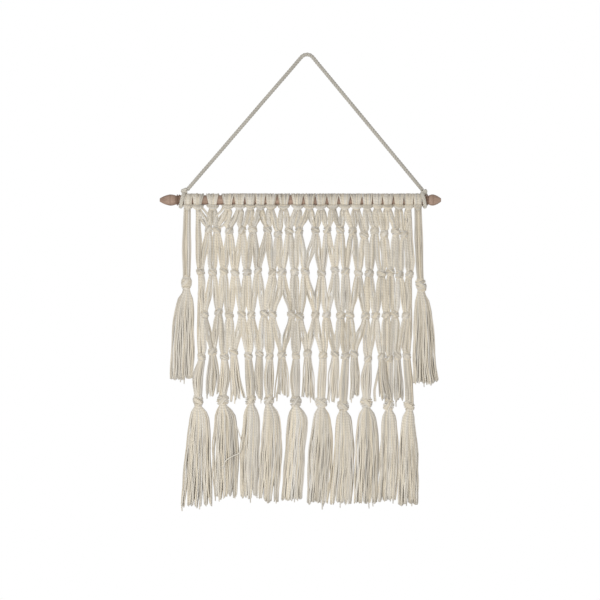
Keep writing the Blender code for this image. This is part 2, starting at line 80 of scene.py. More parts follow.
# Dowel
DOWEL_STEPS = 64
SHAFT_RADIUS = 7.3
LEFT_FINIAL = 31.0  # length of that end's turned shape
RIGHT_FINIAL = 24.0
TURNED_EDGE = math.radians(40)  # a turn sharper than this is an edge
Turned = namedtuple("Turned", "share radius line")
FINIAL = (  # share is of the finial's length, from its tip, and line is how much painted shade darkens it there, most in the deepest grooves
    Turned(0.00, 2.4, 0.2),
    Turned(0.015, 2.8, 0),
    Turned(0.12, 4.6, 0),
    Turned(0.22, 6.1, 0),
    Turned(0.32, 7.2, 0),
    Turned(0.43, 8.1, 0),
    Turned(0.50, 8.45, 0),
    Turned(0.515, 8.2, 1),
    Turned(0.53, 8.5, 0),
    Turned(0.62, 8.25, 0),
    Turned(0.72, 7.4, 0),
    Turned(0.79, 6.7, 0),
    Turned(0.805, 6.2, 1),
    Turned(0.825, 7.7, 0.3),
    Turned(0.85, 8.7, 0.1),
    Turned(0.875, 7.8, 0.3),
    Turned(0.895, 6.1, 1),
    Turned(0.915, 7.7, 0.3),
    Turned(0.94, 8.6, 0.1),
    Turned(0.965, 7.8, 0.2),
    Turned(1.00, SHAFT_RADIUS, 0),
)

# Hanging cord
PLY_RADIUS = 1.42
PLY_REACH = 1.62  # from the cord's middle to each ply's
PLIES = 3
LAY_LENGTH = 13.0  # the cord's length in which a ply goes once round
PLY_STEP = 1.5
PLY_SIDES = 8

RoutePoint = namedtuple("RoutePoint", "x z")
CORD_ROUTE = (
    RoutePoint(-179.3, -199.6),
    RoutePoint(-166.3, -184.4),
    RoutePoint(-146.7, -161.7),
    RoutePoint(-127.1, -139.0),
    RoutePoint(-107.6, -116.2),
    RoutePoint(-88.0, -93.5),
    RoutePoint(-68.5, -70.7),
    RoutePoint(-48.9, -48.0),
    RoutePoint(-29.3, -25.3),
    RoutePoint(-16.3, -10.1),
    RoutePoint(-8.3, -0.8),
    RoutePoint(-4.6, 2.0),
    RoutePoint(0.0, 3.0),
    RoutePoint(4.6, 2.0),
    RoutePoint(8.5, -1.0),
    RoutePoint(16.1, -10.3),
    RoutePoint(28.9, -25.7),
    RoutePoint(48.0, -48.8),
    RoutePoint(67.1, -71.9),
    RoutePoint(86.2, -95.0),
    RoutePoint(105.3, -118.2),
    RoutePoint(124.4, -141.3),
    RoutePoint(143.5, -164.4),
    RoutePoint(160.1, -184.5),
    RoutePoint(173.2, -200.3),
)

# Net
NET_Y = -2.0
NET_TOP = -229.2
YARN_GAP = 0.5
KNOT_HALF = 6.2
KNOT_HIGH = 5.0
KNOT_DEEP = 5.2
KNOT_SWELL = (0.92, 1.08)
KNOT_TAPER = 0.36
BUNDLE_HALF = 6.4
PAIR_HALF = 7.2
PASSED_HALF = 5.0
PASSING_DROP = 80.0  # a leg that comes further down than this passes a row
PASSING_OUT = 1.2
PASSING_HALF = 4.2
LOOSE_STRANDS = (  # pairs of yarns that wander beside the first row's legs, near its left end
    (
        (-159.5, -3.5, -224.0),
        (-154.5, -4.0, -230.0),
        (-149.5, -4.5, -236.5),
        (-146.5, -4.5, -243.5),
        (-148.5, -4.0, -251.5),
        (-149.5, -3.0, -257.0),
    ),
    (
        (-161.0, -3.0, -232.5),
        (-159.5, -4.0, -241.0),
        (-156.5, -4.5, -248.5),
        (-151.0, -4.0, -255.0),
        (-148.5, -3.0, -258.5),
    ),
    (
        (-124.5, -3.5, -224.0),
        (-127.5, -4.5, -230.5),
        (-132.5, -5.0, -236.0),
        (-136.5, -4.5, -239.5),
        (-137.0, -3.0, -247.0),
    ),
    (
        (-119.0, -3.0, -234.0),
        (-117.5, -4.0, -242.5),
        (-121.5, -4.5, -249.0),
        (-127.5, -4.0, -255.0),
        (-133.5, -3.0, -258.5),
    ),
)

Column = namedtuple("Column", "row2_x row2_z row4_x row4_z")
COLUMNS = (
    Column(-159.5, -323, -158.0, -451),
    Column(-141.5, -324, -141.5, -442),
    Column(-124.4, -322, -123.6, -451),
    Column(-107.9, -324, -110.0, -444),
    Column(-89.9, -323, -87.8, -449),
    Column(-73.4, -321, -71.3, -446),
    Column(-51.8, -324, -56.1, -450),
    Column(-37.5, -323, -37.5, -447),
    Column(-18.6, -323, -16.5, -450),
    Column(-2.6, -323, 1.0, -445),
    Column(21.9, -325, 24.0, -448),
    Column(42.0, -320, 42.0, -446),
    Column(57.8, -322, 57.8, -449),
    Column(77.1, -325, 70.7, -446),
    Column(93.6, -325, 91.5, -454),
    Column(111.6, -326, 112.6, -451),
    Column(125.1, -323, 123.8, -453),
    Column(138.8, -327, 135.2, -449),
    Column(153.9, -327, 149.6, -449),
)
Between = namedtuple("Between", "row1_x row1_z row3_x row3_z")
BETWEENS = (
    Between(-147.9, -259, -153.8, -387),
    Between(-135.0, -260, -132.2, -383),
    Between(-116.4, -262, -116.4, -388),
    Between(-97.1, -261, -97.8, -386),
    Between(-81.3, -260, -83.4, -387),
    Between(-59.0, -260, -64.1, -386),
    Between(-43.2, -266, -51.8, -387),
    Between(-26.7, -262, -22.8, -387),
    Between(-12.0, -262, -11.1, -390),
    Between(12.6, -261, 12.6, -387),
    Between(30.5, -260, 29.7, -387),
    Between(49.8, -260, 50.6, -388),
    Between(68.6, -262, 64.2, -388),
    Between(85.7, -268, 87.9, -389),
    Between(101.6, -261, 102.9, -388),
    Between(115.8, -266, 119.4, -388),
    Between(133.1, -263, 131.7, -387),
    Between(146.0, -267, 148.8, -388),
)

# Tassels
SKIRT_DEEP = 8.4
SHOULDER_Z = -550.0
SHOULDER = ((0.22, 0.48), (0.5, 0.82))
SKIRT_MIDDLE_Z = -591.0
STEM_YARNS = 26
SKIRT_YARNS = 80
BigTassel = namedtuple(
    "BigTassel",
    "stem_left stem_right knot_x knot_z top_left top_right mid_left mid_right "
    "end_left end_right end_z knot_half",
)
BIG_TASSELS = (
    BigTassel(-171.0, -156.0, -163.2, -516, -176, -146, -181.5, -144, -188.5, -142, -672, 7.8),
    BigTassel(-130.4, -115.4, -125.9, -515, -138, -105, -141, -102, -140, -103, -662, 9.0),
    BigTassel(-92.0, -79.5, -84.2, -515, -96, -71, -100, -72, -101, -75, -660, 7.2),
    BigTassel(-65.0, -50.0, -56.9, -515, -66, -40, -70, -38, -73, -43, -664, 7.6),
    BigTassel(-25.5, -10.5, -16.8, -517, -30, 1, -33, -3, -39, -7, -664, 8.8),
    BigTassel(16.5, 28.5, 21.5, -519, 9, 35, 3, 38, 0, 32, -668, 9.0),
    BigTassel(50.0, 61.5, 54.2, -524, 44, 67, 41, 70, 34, 67, -668, 8.8),
    BigTassel(80.5, 97.0, 89.0, -519, 75, 104, 72, 108, 69, 105, -669, 9.3),
    BigTassel(118.8, 127.6, 122.6, -523, 112, 134, 110, 136, 107, 134, -665, 8.0),
    BigTassel(146.5, 157.5, 153.3, -524, 142, 161, 138, 166, 136, 167, -669, 7.8),
)
LOCK_WIDTH = 7.0
LOOSE_TASSEL = 2
LOOSE_YARN = (  # crosses in front of that tassel's skirt
    (-106.0, -4.0, -552.0),
    (-99.8, -6.5, -571.0),
    (-97.8, -7.8, -581.0),
    (-101.0, -9.5, -593.5),
    (-111.0, -11.4, -598.5),
    (-121.0, -11.9, -605.0),
    (-126.0, -11.2, -617.0),
)
BIG_KNOT_HIGH = 8.6
TUFTED = 4  # so many of them, from the left, end in tufts, and the others more evenly
Ends = namedtuple("Ends", "parted ragged")
TUFTED_ENDS = Ends(0.4, 3.0)
EVEN_ENDS = Ends(0.26, 2.2)
BIG_KNOT_DEEP = 6.2
TASSEL_KNOT_TAPER = 0.5
BIG_KNOT_REACH = 9.5
COLLAR_HALF = 5.4
COLLAR_DEEP = 5.0

SmallTassel = namedtuple("SmallTassel", "mid_left mid_right end_left end_right end_z locks")
SMALL_TASSELS = (
    SmallTassel(-150.5, -131.0, -153.5, -131.5, -507, 4),
    SmallTassel(-114.8, -100.0, -114.8, -94.0, -512, 5),
    SmallTassel(-78.8, -65.6, -75.6, -66.0, -512, 2),
    SmallTassel(-46.0, -27.0, -48.5, -25.5, -509, 4),
    SmallTassel(-6.8, 10.0, -8.6, 12.0, -512, 4),
    SmallTassel(31.5, 48.2, 31.5, 47.0, -515, 3),
    SmallTassel(65.0, 78.4, 64.5, 78.4, -512, 2),
    SmallTassel(106.5, 120.5, 108.0, 127.5, -513, 4),
    SmallTassel(129.6, 143.4, 130.0, 145.0, -516, 3),
)
FRONT_TASSEL = 8  # this small one hangs in front of the stem beside it, and flings one strand out
FRONT_OUT = 6.0
FLUNG_STRAND = (
    (112.0, -4.0, -450.0),
    (110.2, -5.5, -457.0),
    (107.3, -6.0, -470.0),
    (103.8, -6.0, -486.0),
    (101.0, -6.0, -501.0),
    (101.9, -6.0, -517.0),
)
SMALL_DEEP = 4.6
SMALL_YARNS = 22

StrandSection = namedtuple("StrandSection", "z left right deep")
LEFT_SIDE_TASSEL = (
    StrandSection(-224.0, -184.0, -175.0, 3.0),
    StrandSection(-280.0, -186.8, -174.6, 3.6),
    StrandSection(-324.0, -186.0, -175.0, 4.0),
    StrandSection(-339.0, -184.4, -177.0, 3.6),
    StrandSection(-353.0, -186.0, -175.4, 5.0),
    StrandSection(-366.0, -194.0, -171.0, 7.4),
    StrandSection(-407.0, -201.0, -169.6, 8.4),
    StrandSection(-464.0, -204.0, -169.6, 8.6),
    StrandSection(-483.0, -205.0, -171.0, 8.6),
)
RIGHT_SIDE_TASSEL = (
    StrandSection(-224.0, 161.4, 171.4, 3.0),
    StrandSection(-280.0, 161.6, 173.6, 3.6),
    StrandSection(-326.0, 164.4, 174.4, 4.0),
    StrandSection(-343.0, 166.4, 174.6, 3.6),
    StrandSection(-356.0, 165.2, 176.8, 5.0),
    StrandSection(-370.0, 161.4, 183.8, 7.4),
    StrandSection(-407.0, 159.4, 189.2, 8.4),
    StrandSection(-464.0, 158.2, 193.6, 8.6),
    StrandSection(-489.0, 157.6, 198.0, 8.6),
)
SIDE_STRAND_YARNS = 18
SIDE_YARNS = 66
SIDE_RAGGED = {"left": 1.6, "right": 3.0}
SIDE_KNOT_SECTION = 3  # the section, counted from 0, that lies in the knot
SIDE_KNOT_HALF = 8.0
SIDE_KNOT_DEEP = 6.6
SIDE_KNOT_HIGH = 10.5
LEFT_SIDE_KNOT = (-180.6, -338.5)
RIGHT_SIDE_KNOT = (171.0, -343.0)


# Shader sums


class Socket:
    """A node's output, which sums and products can be written with."""

    def __init__(self, finish, link):
        self.finish = finish
        self.link = link

    def math(self, operation, *values):
        return self.finish.node("Math", {"operation": operation}, dict(enumerate(values)))

    def __add__(self, other):
        return self.math("ADD", self, other)

    __radd__ = __add__

    def __sub__(self, other):
        return self.math("SUBTRACT", self, other)

    def __rsub__(self, other):
        return self.math("SUBTRACT", other, self)

    def __mul__(self, other):
        return self.math("MULTIPLY", self, other)

    __rmul__ = __mul__

    def __truediv__(self, other):
        return self.math("DIVIDE", self, other)

    def sine(self):
        return self.math("SINE", self)

    def cosine(self):
        return self.math("COSINE", self)

    def part(self):
        """What is left of it past a whole number."""
        return self.math("FRACT", self)

    def above(self, low, high):
        """From 0 at low to 1 at high, smoothly."""
        settings = {"interpolation_type": "SMOOTHSTEP"}
        return self.finish.node("MapRange", settings, {"Value": self, "From Min": low, "From Max": high})

    def separate(self):
        return [self.finish.node("SeparateXYZ", {}, {0: self}, out) for out in (0, 1, 2)]


class Finish:
    """A material, or the world, and the nodes that it is made of."""

    def __init__(self, owner):
        self.owner = owner
        owner.use_nodes = True
        self.nodes = owner.node_tree.nodes
        self.links = owner.node_tree.links

    def node(self, kind, settings, sockets, out=0):
        made = self.nodes.new("ShaderNode" + kind)
        for name, value in settings.items():
            setattr(made, name, value)
        self.feed(made, sockets)
        return Socket(self, made.outputs[out])

    def feed(self, node, sockets):
        for name, value in sockets.items():
            if isinstance(value, Socket):
                self.links.new(value.link, node.inputs[name])
            else:
                node.inputs[name].default_value = value

    def mix(self, factor, first, second):
        """A blend of two colours, each a socket or three numbers."""
        sockets = {0: factor}
        for name, colour in ((6, first), (7, second)):
            sockets[name] = colour if isinstance(colour, Socket) else (*colour, 1)
        return self.node("Mix", {"data_type": "RGBA"}, sockets, 2)

    def vector(self, x, y, z):
        return self.node("CombineXYZ", {}, {0: x, 1: y, 2: z})

    def noise(self, place, scale, detail=2.0):
        return self.node("TexNoise", {}, {"Vector": place, "Scale": scale, "Detail": detail})

    def bump(self, height, distance, strength=1.0, over=None):
        sockets = {"Height": height, "Distance": distance, "Strength": strength}
        if over is not None:
            sockets["Normal"] = over
        return self.node("Bump", {}, sockets)


def new_finish(name, sockets):
    finish = Finish(bpy.data.materials.new(name))
    finish.feed(finish.nodes["Principled BSDF"], sockets)
    return finish


# dark is the colour of random darker patches, and also of the painted shade in the grooves between the
# plies
Cotton = namedtuple("Cotton", "pale mid dark")
YARN_COLOURS = Cotton((0.86, 0.80, 0.70), (0.58, 0.53, 0.45), (0.30, 0.26, 0.205))
ROPE_COLOURS = Cotton((0.61, 0.58, 0.52), (0.47, 0.44, 0.39), (0.17, 0.155, 0.13))
# A paler copy of the cord's colours for the knots at its ends: painted light, the same cord shown lit
# brighter
LIT_ROPE_COLOURS = Cotton((0.74, 0.70, 0.62), (0.55, 0.51, 0.44), (0.22, 0.20, 0.16))
COOL_TINT = (0.97, 1.0, 1.05)
WARM_TINT = (1.03, 1.0, 0.92)
TWISTED_PLIES = 2


def spun_cotton(name, cotton, pitch, depth):
    """Soft spun yarn: plies that wind round it once in a pitch, fibres that lie along them, and painted
    shade in the grooves between the plies.
    """
    finish = new_finish(
        name,
        {"Metallic": 0.0, "Sheen Weight": 0.25, "Sheen Roughness": 0.6, "Specular IOR Level": 0.2},
    )
    around, along, _ = finish.node("UVMap", {"uv_map": "Yarn"}, {}).separate()
    tone = finish.node("Attribute", {"attribute_name": "tone"}, {}, 2)
    place = finish.node("TexCoord", {}, {}, 3)
    wound = around + along / pitch
    ply = (wound * TWISTED_PLIES).part()
    round_ply = (ply * math.pi).sine()
    angle = wound * (2 * math.pi)
    fibre_place = finish.vector(angle.cosine() + tone * 7, angle.sine(), along * 25)
    fibres = finish.noise(fibre_place, 5.0, 3.0)
    patches = finish.noise(place, 22.0, 2.0)
    # Painted shade: the colour is darkened in the grooves between the plies, where shade falls
    ply_groove_shade = 1 - round_ply.above(0.0, 0.55)
    colour = finish.mix((fibres * 0.8 + tone * 0.9 - 0.22).above(0.0, 0.75), cotton.mid, cotton.pale)
    colour = finish.mix((patches - 0.45) * 0.5, colour, cotton.dark)
    colour = finish.mix(ply_groove_shade * 0.42, colour, cotton.dark)
    tint = finish.mix((tone * 17).part(), COOL_TINT, WARM_TINT)
    colour = finish.node("VectorMath", {"operation": "MULTIPLY"}, {0: colour, 1: tint})
    rounded = finish.bump(round_ply, depth)
    fuzzy = finish.bump(fibres, 0.00025, 0.8, rounded)
    surface = {"Base Color": colour, "Roughness": 0.82 + fibres * 0.2, "Normal": fuzzy}
    finish.feed(finish.nodes["Principled BSDF"], surface)
    return finish.owner


WOOD_DARK = (0.32, 0.215, 0.16)
WOOD_PALE = (0.50, 0.355, 0.27)
WOOD_PORES = (0.24, 0.13, 0.08)
# The colour of the painted shade in the dowel's turned grooves
PAINTED_GROOVE_SHADE = (0.10, 0.05, 0.03)


def turned_wood(name):
    """Waxed pinkish-brown wood, its grain along the dowel, with painted shade darkening its turned grooves.
    """
    finish = new_finish(name, {"Metallic": 0.0, "Specular IOR Level": 0.4, "Coat Weight": 0.08})
    place = finish.node("TexCoord", {}, {}, 3)
    x, y, z = place.separate()
    long_place = finish.vector(x * 14, y * 160, z * 160)
    grain = finish.noise(long_place, 1.0, 5.0)
    fine = finish.noise(finish.vector(x * 60, y * 900, z * 900), 1.0, 3.0)
    line = finish.node("Attribute", {"attribute_name": "line"}, {}, 2)
    colour = finish.mix(grain.above(0.3, 0.7), WOOD_DARK, WOOD_PALE)
    colour = finish.mix((fine - 0.35) * 0.5, colour, WOOD_PORES)
    # Painted shade: the wood is darkened by the line attribute, most in the deepest grooves of the finials,
    # where shade falls
    colour = finish.mix(line * 0.8, colour, PAINTED_GROOVE_SHADE)
    pores = finish.bump(fine, 0.0002, 0.6)
    surface = {"Base Color": colour, "Roughness": 0.48 + grain * 0.2, "Normal": pores}
    finish.feed(finish.nodes["Principled BSDF"], surface)
    return finish.owner


def plain(name, colour, roughness):
    finish = new_finish(name, {"Base Color": (*colour, 1), "Roughness": roughness})
    return finish.owner


# Making meshes


def finished(name, mesh, material, stands_for):
    """Links a piece that stands for some of the model's nodes."""
    mesh.materials.append(material)
    mesh.shade_smooth()
    piece = bpy.data.objects.new(name, mesh)
    bpy.context.scene.collection.objects.link(piece)
    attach(piece, "root")
    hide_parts(*stands_for)
    return piece


def smooth(points, steps):
    """Points along a Catmull-Rom curve, with so many steps between each two of the points given."""
    points = np.asarray(points, float)
    padded = np.vstack([2 * points[0] - points[1], points, 2 * points[-1] - points[-2]])
    before, start, end, after = padded[:-3], padded[1:-2], padded[2:-1], padded[3:]
    found = []
    for t in np.arange(steps) / steps:
        found.append(
            0.5
            * (
                2 * start
                + (end - before) * t
                + (2 * before - 5 * start + 4 * end - after) * t**2
                + (3 * start - before - 3 * end + after) * t**3
            )
        )
    curve = np.stack(found, axis=1).reshape(-1, points.shape[1])
    return np.vstack([curve, points[-1]])


def directions(path, closed):
    """The unit tangent at each point of a path."""
    if closed:
        ahead = np.roll(path, -1, axis=0) - np.roll(path, 1, axis=0)
    else:
        ahead = np.gradient(path, axis=0)
    return ahead / np.linalg.norm(ahead, axis=1, keepdims=True)


class Yarns:
    """Round yarns laid along paths in millimetres, which end up joined in one mesh."""

    def __init__(self):
        self.corners = []
        self.faces = []
        self.places = []
        self.tones = []
        self.count = 0

    def lay(self, path, radius, tone, across=ALONG_Y, closed=False, sides=YARN_SIDES):
        """Winds rings of corners round the path. across is a direction that the path never takes."""
        path = np.asarray(path, float)
        ahead = directions(path, closed)
        aside = across - (ahead @ across)[:, None] * ahead
        aside /= np.linalg.norm(aside, axis=1, keepdims=True)
        upward = np.cross(ahead, aside)
        radii = np.broadcast_to(radius, len(path))[:, None, None]
        turn = 2 * np.pi * np.arange(sides) / sides
        spokes = np.cos(turn)[None, :, None] * aside[:, None]
        spokes = spokes + np.sin(turn)[None, :, None] * upward[:, None]
        rings = path[:, None] + radii * spokes
        steps = np.linalg.norm(np.diff(path, axis=0), axis=1)
        run = np.concatenate([[0], np.cumsum(steps)]) * MM
        index = self.count + np.arange(len(path) * sides).reshape(len(path), sides)
        if closed:
            index = np.vstack([index, index[:1]])
            run = np.append(run, run[-1] + np.linalg.norm(path[0] - path[-1]) * MM)
        beside = np.roll(index, -1, axis=1)
        quads = np.stack([index[:-1], beside[:-1], beside[1:], index[1:]], axis=-1).reshape(-1, 4)
        self.faces += quads.tolist()
        shares = np.arange(sides + 1) / sides
        for lower, upper in zip(run[:-1], run[1:]):
            for left, right in zip(shares[:-1], shares[1:]):
                self.places += [(left, lower), (right, lower), (right, upper), (left, upper)]
        if not closed:
            self.faces += [index[0][::-1].tolist(), index[-1].tolist()]
            self.places += [(0.5, run[0])] * sides + [(0.5, run[-1])] * sides
        self.corners.append(rings.reshape(-1, 3))
        self.tones += [tone] * (len(path) * sides)
        self.count += len(path) * sides

    def mesh(self, name):
        mesh = bpy.data.meshes.new(name)
        mesh.from_pydata((np.vstack(self.corners) * MM).tolist(), [], self.faces)
        layer = mesh.uv_layers.new(name="Yarn")
        layer.data.foreach_set("uv", np.array(self.places).ravel())
        tones = mesh.attributes.new("tone", "FLOAT", "POINT")
        tones.data.foreach_set("value", self.tones)
        return mesh


# Dowel


def dowel_profile(left, right):
    """Points of x, radius and painted groove shade from the dowel's left tip to its right one."""
    outline = [(left + point.share * LEFT_FINIAL, point.radius, point.line) for point in FINIAL]
    for point in reversed(FINIAL):
        outline.append((right - point.share * RIGHT_FINIAL, point.radius, point.line))
    return outline


def turn_dowel(material):
    low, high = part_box("dowel")
    axis = (low.z + high.z) / 2
    bm = bmesh.new()
    groove_shade_layer = bm.verts.layers.float.new("line")
    outline = dowel_profile(low.x / MM, high.x / MM)
    outline = [(outline[0][0], 0, 0), *outline, (outline[-1][0], 0, 0)]
    row = []
    for x, radius, line in outline:
        vert = bm.verts.new((x * MM, 0, radius * MM))
        vert[groove_shade_layer] = line
        row.append(vert)
    edges = [bm.edges.new(pair) for pair in zip(row, row[1:])]
    bmesh.ops.spin(
        bm, geom=[*row, *edges], axis=(1, 0, 0), angle=2 * math.pi, steps=DOWEL_STEPS, use_merge=True
    )
    bmesh.ops.remove_doubles(bm, verts=bm.verts, dist=MERGE)
    bmesh.ops.recalc_face_normals(bm, faces=bm.faces)
    bmesh.ops.translate(bm, vec=(0, 0, axis), verts=bm.verts)
    mesh = bpy.data.meshes.new("turned_dowel")
    bm.to_mesh(mesh)
    bm.free()
    piece = finished("turned_dowel", mesh, material, ["dowel"])
    mesh.set_sharp_from_angle(angle=TURNED_EDGE)
    return piece


# Hanging cord


def lay_rope(yarns, route, across=ALONG_Y, tone=0.5):
    """Plies wound round a route of points in millimetres."""
    runs = np.linalg.norm(np.diff(route, axis=0), axis=1)
    run = np.concatenate([[0], np.cumsum(runs)])
    count = max(8, round(run[-1] / PLY_STEP))
    even = np.linspace(0, run[-1], count)
    line = np.stack([np.interp(even, run, route[:, i]) for i in range(3)], axis=1)
    ahead = directions(line, False)
    aside = across - (ahead @ across)[:, None] * ahead
    aside /= np.linalg.norm(aside, axis=1, keepdims=True)
    upward = np.cross(ahead, aside)
    for ply in range(PLIES):
        angle = (2 * np.pi * (even / LAY_LENGTH + ply / PLIES))[:, None]
        path = line + PLY_REACH * (np.cos(angle) * aside + np.sin(angle) * upward)
        yarns.lay(path, PLY_RADIUS, tone, across=across, sides=PLY_SIDES)
    return line


def hang_cord(material):
    corners = [(point.x, 0, point.z) for point in CORD_ROUTE]
    route = smooth(corners, 8)
    yarns = Yarns()
    line = lay_rope(yarns, route)
    piece = finished("twisted_cord", yarns.mesh("twisted_cord"), material, ["hanging_cord"])
    return piece


Hitch = namedtuple("Hitch", "side ring_x knot_x knot_z slant")
HITCHES = (
    Hitch("left", -187.0, -184.2, -201.7, 2.6),
    Hitch("right", 174.9, 175.5, -203.7, -2.0),
)
HITCH_REACH = SHAFT_RADIUS + GAP + 2.4  # from the dowel's middle to the cord's
HITCH_STEPS = 40
LOOP_STEPS = 24
LOOP_ALONG = 2.6
LOOP_DEEP = 2.9
LOOP_APART = 2.0
LOOP_RISE = 2.2


def tie_hitch(hitch, material):
    """The cord's end: a turn round the dowel, drawn under itself into a knot on top."""
    low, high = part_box("dowel")
    axis = (low.z + high.z) / 2 / MM
    yarns = Yarns()
    turn = np.linspace(0, 2 * np.pi, HITCH_STEPS)
    x = hitch.ring_x + hitch.slant * np.cos(turn)
    ring = np.stack([x, HITCH_REACH * np.sin(turn), axis + HITCH_REACH * np.cos(turn)], axis=1)
    lay_rope(yarns, ring, ALONG_X)
    turn = np.linspace(0, 2 * np.pi, LOOP_STEPS)
    for tilt in (-0.5, 0.5):
        x = hitch.knot_x + LOOP_ALONG * np.cos(turn)
        y = LOOP_DEEP * np.sin(turn)
        z = hitch.knot_z + tilt * LOOP_APART + tilt * LOOP_RISE * np.cos(turn)
        lay_rope(yarns, np.stack([x, y, z], axis=1), ALONG_Z)
    name = "cord_knot_" + hitch.side
    return finished(name, yarns.mesh(name), material, ["cord_hitch_" + hitch.side])


# Lark's heads

HEADS = len(COLUMNS) + 2  # one for each column of the net, and one for each side tassel
HEAD_YARNS = 9
HEAD_HALF = 9.3
HEAD_PINCHED = 4.8
HEAD_OUTER_HALF = 5.6
HEAD_START = math.radians(-75)  # from straight ahead, up over the dowel and round to below it
HEAD_END = math.radians(248)
SPREAD_AT = math.radians(75)  # the yarns reach their full spread there, from the front up
SPREAD_OVER = math.radians(140)
DRAWN_AT = math.radians(170)  # and are drawn together again from there on, down the back
DRAWN_OVER = math.radians(70)
HEAD_STEPS = 26
BAR_ROWS = (-2, -1, 0, 1)  # the crossing loop's yarns, from the top one down
BAR_STEPS = 15
BAR_HALF = 8.4
BAR_ENDS_Y = -5.0
BAR_BOW = 6.0
BAR_DROP = 9.7  # below the dowel's middle
BAR_SAG = 3.2
BAR_SPACING = 1.9


def eased(values):
    """From 0 at 0 and below to 1 at 1 and above, smoothly."""
    share = np.clip(values, 0, 1)
    return share * share * (3 - 2 * share)


def head_middle(number):
    """Where that lark's head sits along the dowel."""
    low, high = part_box(f"larks_head_{number:02d}")
    return (low.x + high.x) / 2 / MM


def half_gap(number, side):
    """How far a head reaches to that side over the top: up to its neighbour, where one is near."""
    if not 1 <= number + side <= HEADS:
        return HEAD_OUTER_HALF
    apart = abs(head_middle(number + side) - head_middle(number))
    return min(HEAD_HALF, apart / 2) - 0.6 * YARN


def wrap_head(number, material):
    """Yarns side by side over the dowel, drawn together below by the loop that crosses in front of them."""
    node = f"larks_head_{number:02d}"
    chance = np.random.default_rng(HEAD_SEED + number)
    middle = head_middle(number)
    left = half_gap(number, -1)
    right = half_gap(number, 1)
    dowel_low, dowel_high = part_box("dowel")
    axis = (dowel_low.z + dowel_high.z) / 2 / MM
    yarns = Yarns()
    angles = np.linspace(HEAD_START, HEAD_END, HEAD_STEPS)
    in_front = eased((SPREAD_AT - angles) / SPREAD_OVER)
    behind = eased((angles - DRAWN_AT) / DRAWN_OVER)
    drawn = np.maximum(in_front, behind)
    for share in np.linspace(-1, 1, HEAD_YARNS):
        half = left if share < 0 else right
        spread = share * (half + (min(half, HEAD_PINCHED) - half) * drawn)
        wander = 0.4 * np.sin(angles * 2 + chance.uniform(0, 6.3)) * (1 - drawn)
        proud = chance.uniform(0, 0.7) + 1.2 * drawn * (1 - share**2)
        reach = SHAFT_RADIUS + GAP + YARN + proud
        x = middle + spread + wander
        path = np.stack([x, -reach * np.cos(angles), axis + reach * np.sin(angles)], axis=1)
        yarns.lay(path, YARN * 0.93, chance.uniform(0, 1), across=ALONG_X)
    sweep = np.linspace(-1, 1, BAR_STEPS)
    lift = np.cos(sweep * np.pi / 2)
    width = min((left + right) / 2 + 0.6, BAR_HALF)
    tip = chance.uniform(-1.0, 1.0)
    for row in BAR_ROWS:
        x = middle + sweep * (width - 0.5 * (row + 1))
        y = BAR_ENDS_Y - BAR_BOW * lift**0.7 + 0.5 * row**2
        z = axis - BAR_DROP - BAR_SAG * lift**1.2 - BAR_SPACING * row * (0.5 + 0.5 * lift) + tip * sweep
        path = np.stack([x, y, z], axis=1)
        yarns.lay(path, YARN, chance.uniform(0, 1), across=ALONG_Z)
    name = f"head_{number:02d}"
    return finished(name, yarns.mesh(name), material, [node])


# Net


class Knot:
    """One knot's place, with its edges kept clear of its neighbours' in the row."""

    def __init__(self, x, z, before, after):
        self.x = x
        self.z = z
        self.left_half = min(KNOT_HALF, (x - before - YARN_GAP) / 2)
        self.right_half = min(KNOT_HALF, (after - x - YARN_GAP) / 2)
        self.pair_left = x - min(PAIR_HALF, (x - before - YARN_GAP) / 2)
        self.pair_right = x + min(PAIR_HALF, (after - x - YARN_GAP) / 2)
        self.top = z + KNOT_HIGH
        self.bottom = z - KNOT_HIGH


def knots_of(places, outer_half=PAIR_HALF):
    """A row of knots at places of x and z, from the left."""
    far = 2 * outer_half + YARN_GAP
    xs = [places[0][0] - far, *(x for x, _ in places), places[-1][0] + far]
    return [Knot(x, z, xs[i], xs[i + 2]) for i, (x, z) in enumerate(places)]


Leg = namedtuple("Leg", "upper from_side lower to_side")
LEG_ASIDE = 3.6  # from a knot's middle to where a leg leaves it
GATHERED_HALF = 2.7


def legs_closing(uppers, lowers):
    """Each lower knot gathers the right leg of one upper knot and the left leg of the next."""
    return [
        leg
        for i, lower in enumerate(lowers)
        for leg in (Leg(uppers[i], 1, lower, -1), Leg(uppers[i + 1], -1, lower, 1))
    ]


def legs_opening(uppers, lowers, passing):
    """The outermost legs come past the upper row from the knots above it."""
    legs = [Leg(passing[0], -1, lowers[0], -1)]
    for i, upper in enumerate(uppers):
        legs += [Leg(upper, -1, lowers[i], 1), Leg(upper, 1, lowers[i + 1], -1)]
    legs.append(Leg(passing[1], 1, lowers[-1], 1))
    return legs


def middle_edges(legs):
    """Each leg's left and right edge at mid-height, clear of its neighbours."""
    centres = [
        (leg.upper.x + leg.from_side * LEG_ASIDE + leg.lower.x + leg.to_side * LEG_ASIDE) / 2
        for leg in legs
    ]
    parted = [(a + b) / 2 for a, b in zip(centres, centres[1:])]
    lefts = [-math.inf, *(x + YARN_GAP / 2 for x in parted)]
    rights = [*(x - YARN_GAP / 2 for x in parted), math.inf]
    return [
        (max(left, x - BUNDLE_HALF), min(right, x + BUNDLE_HALF))
        for x, left, right in zip(centres, lefts, rights)
    ]


def quarter(knot, side):
    """The middle of the half of a knot's pair that lies on that side."""
    edge = knot.pair_left if side < 0 else knot.pair_right
    return (knot.x + edge) / 2


Level = namedtuple("Level", "x z half deep")
FRONT_YARNS = 6
BACK_YARNS = 3


